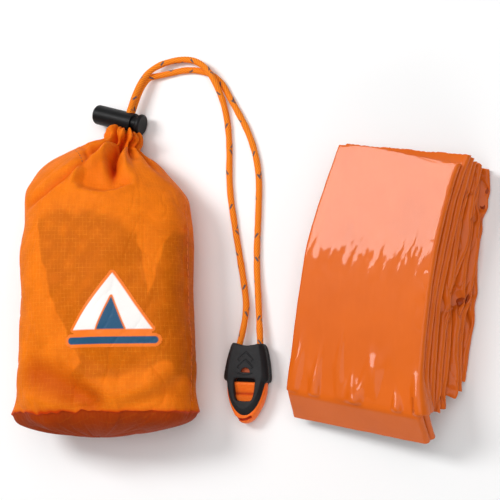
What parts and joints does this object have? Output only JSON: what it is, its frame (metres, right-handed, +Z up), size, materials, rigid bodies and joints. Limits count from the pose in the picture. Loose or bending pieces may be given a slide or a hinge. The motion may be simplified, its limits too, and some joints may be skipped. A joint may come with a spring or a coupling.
{
  "type": "bivy sack",
  "caption": "Emergency bivy kit: a full drawstring stuff sack with cord lock and whistle on its long cord, and a folded bivy of glossy film lying beside it.",
  "frame": {"origin": "on the surface that the kit lies on, under the middle of the kit's outline without its free cords", "axes": "+Z up out of that surface; +X from the stuff sack towards the folded bivy, the longest extent; +Y from the sack's base towards its gathered neck"},
  "size_m": [0.2121, 0.1747, 0.046],
  "materials": {
    "ripstop_fabric": "thin translucent orange ripstop, satin",
    "base_fabric": "denser red-orange coated fabric, satin",
    "packed_film": "thin film seen through the sack",
    "drawcord": "braided orange cord with grey-blue flecks",
    "lock_plastic": "black moulded plastic",
    "spring_steel": "spring wire",
    "whistle_cover": "fine-textured black moulding",
    "whistle_orange": "smooth orange moulding",
    "bivy_film": "glossy orange metallised film"
  },
  "bodies": {
    "sack": {"sack_body": "ripstop_fabric", "sack_base": "base_fabric", "sack_base_seam": "base_fabric", "sack_side_seam": "ripstop_fabric", "packed_bundle": "packed_film", "drawcord_hem": "ripstop_fabric", "drawcord_in_hem": "drawcord", "cord_strand_left": "drawcord", "cord_strand_right": "drawcord"},
    "cord_lock": {"cord_lock_barrel": "lock_plastic", "cord_lock_spring": "spring_steel"},
    "lock_button": {"cord_lock_plunger": "lock_plastic"},
    "whistle": {"whistle_front_cover": "whistle_cover", "whistle_back_cover": "whistle_cover", "whistle_body": "whistle_orange", "whistle_ramp": "whistle_orange", "cord_end_knot": "drawcord"},
    "folded_bivy": {"bivy_fold_1": "bivy_film", "bivy_fold_2": "bivy_film", "bivy_fold_3": "bivy_film", "bivy_fold_4": "bivy_film", "bivy_fold_5": "bivy_film", "bivy_fold_6": "bivy_film", "bivy_fold_7": "bivy_film"},
    "bivy_flap": {"bivy_front_flap": "bivy_film"}
  },
  "joints": [
    {"name": "lock_along_cord", "type": "slide", "parent": "sack", "child": "cord_lock", "axis": [0.2924, 0.9563, 0], "range_m": [0, 0.006]},
    {"name": "lock_button_press", "type": "slide", "parent": "cord_lock", "child": "lock_button", "axis": [-0.9563, 0.2924, 0], "range_m": [0, 0.002], "stiffness_N_per_m": 400, "springref_m": -0.002, "deforming": ["cord_lock_spring"]},
    {"name": "whistle_lift", "type": "hinge", "parent": "sack", "child": "whistle", "pos_m": [-0.00245, -0.03225, 0.0049], "axis": [-0.9986, 0.0523, 0], "range_deg": [0, 70]},
    {"name": "bivy_lift", "type": "slide", "parent": "sack", "child": "folded_bivy", "axis": [0, 0, 1], "range_m": [0, 0.05]},
    {"name": "bivy_flap_open", "type": "hinge", "parent": "folded_bivy", "child": "bivy_flap", "pos_m": [0.0294, -0.00438, 0.01839], "axis": [-0.1822, -0.9833, 0], "range_deg": [0, 120]}
  ]
}
